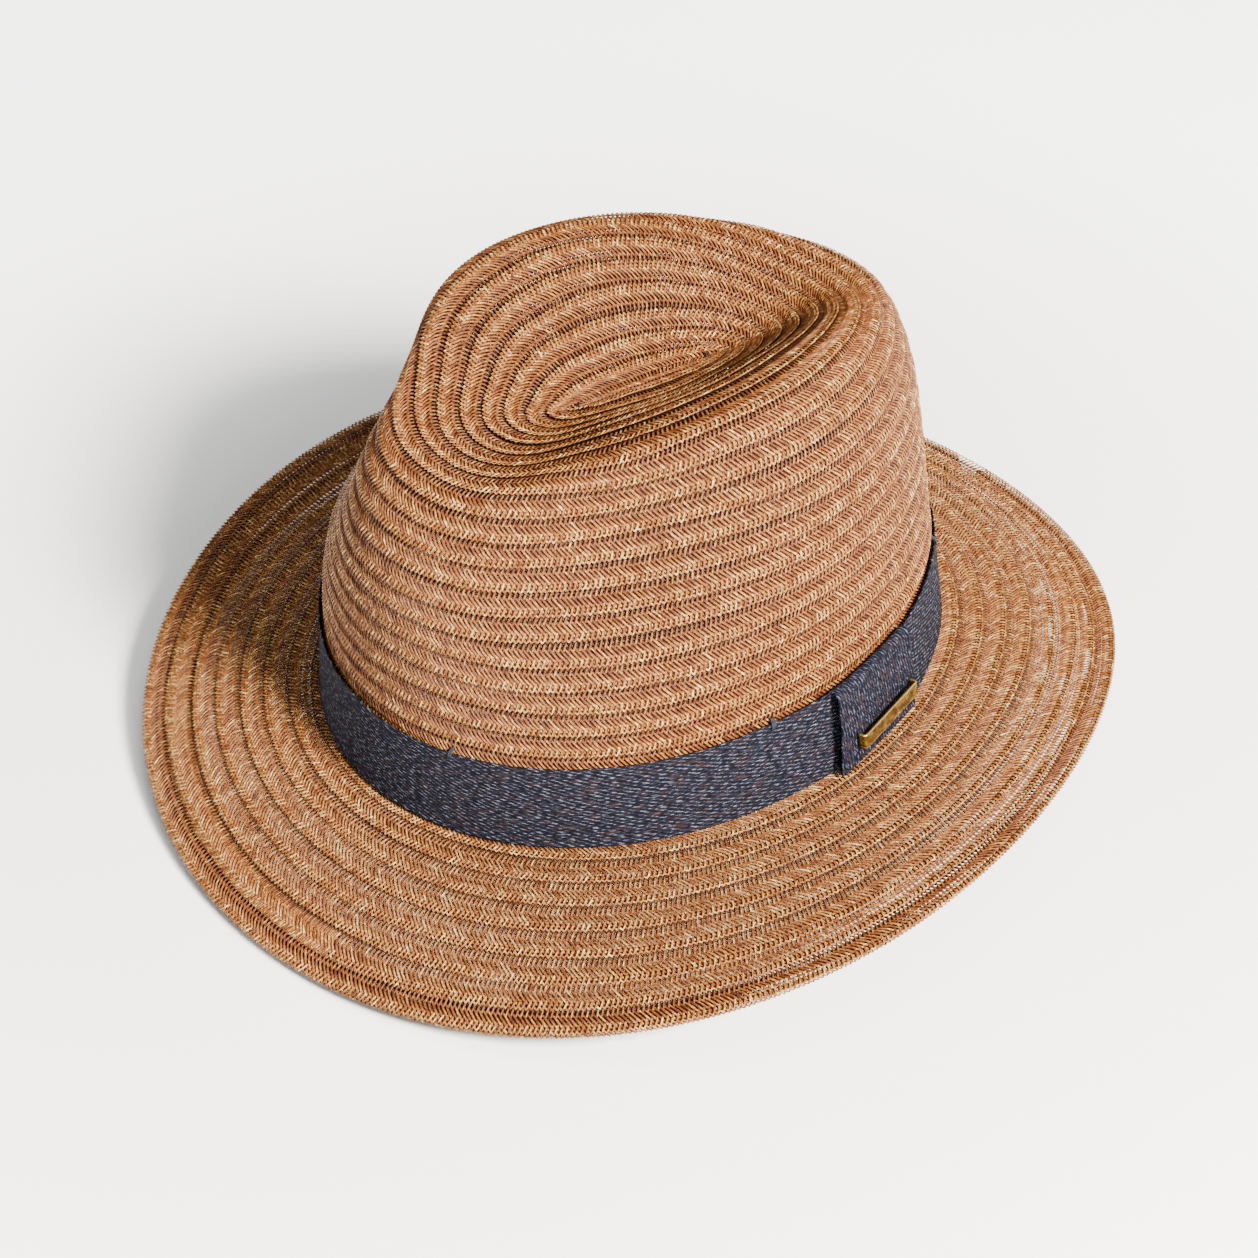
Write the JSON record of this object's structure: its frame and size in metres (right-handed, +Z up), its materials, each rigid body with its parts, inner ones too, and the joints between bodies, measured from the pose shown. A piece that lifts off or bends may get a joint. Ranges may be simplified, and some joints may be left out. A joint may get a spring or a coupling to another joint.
{
  "type": "braid fedora hat",
  "caption": "Travel fedora of sewn hemp braid with a teardrop crown, a curved brim, a twill ribbon band with a folded keeper and brass bar, and a sweatband inside.",
  "frame": {"origin": "centre of the head opening, level with the break where the brim meets the crown", "axes": "+Z up out of the crown, -Y towards the front of the hat, +X towards the wearer's left, where the keeper and brass bar are"},
  "size_m": [0.2936, 0.3114, 0.1497],
  "materials": {
    "hemp_braid": "sewn hemp braid, satin straw",
    "twill_ribbon": "navy denim-like twill ribbon with pale slubs",
    "antique_brass": "antiqued and brushed",
    "sweatband_cloth": "black cotton twill tape",
    "label_satin": "woven satin, blank"
  },
  "bodies": {
    "root": {"crown_tip": "hemp_braid", "crown_wall": "hemp_braid", "brim": "hemp_braid", "brim_edge": "hemp_braid", "hatband": "twill_ribbon", "ribbon_keeper": "twill_ribbon", "badge_bar": "antique_brass", "band_tack_1": "twill_ribbon", "band_tack_2": "twill_ribbon", "band_tack_3": "twill_ribbon", "band_tack_4": "twill_ribbon", "band_tack_5": "twill_ribbon", "band_tack_6": "twill_ribbon", "sweatband": "sweatband_cloth", "sweatband_reed": "sweatband_cloth", "sweatband_join_tape": "sweatband_cloth", "size_label": "label_satin"}
  },
  "joints": []
}
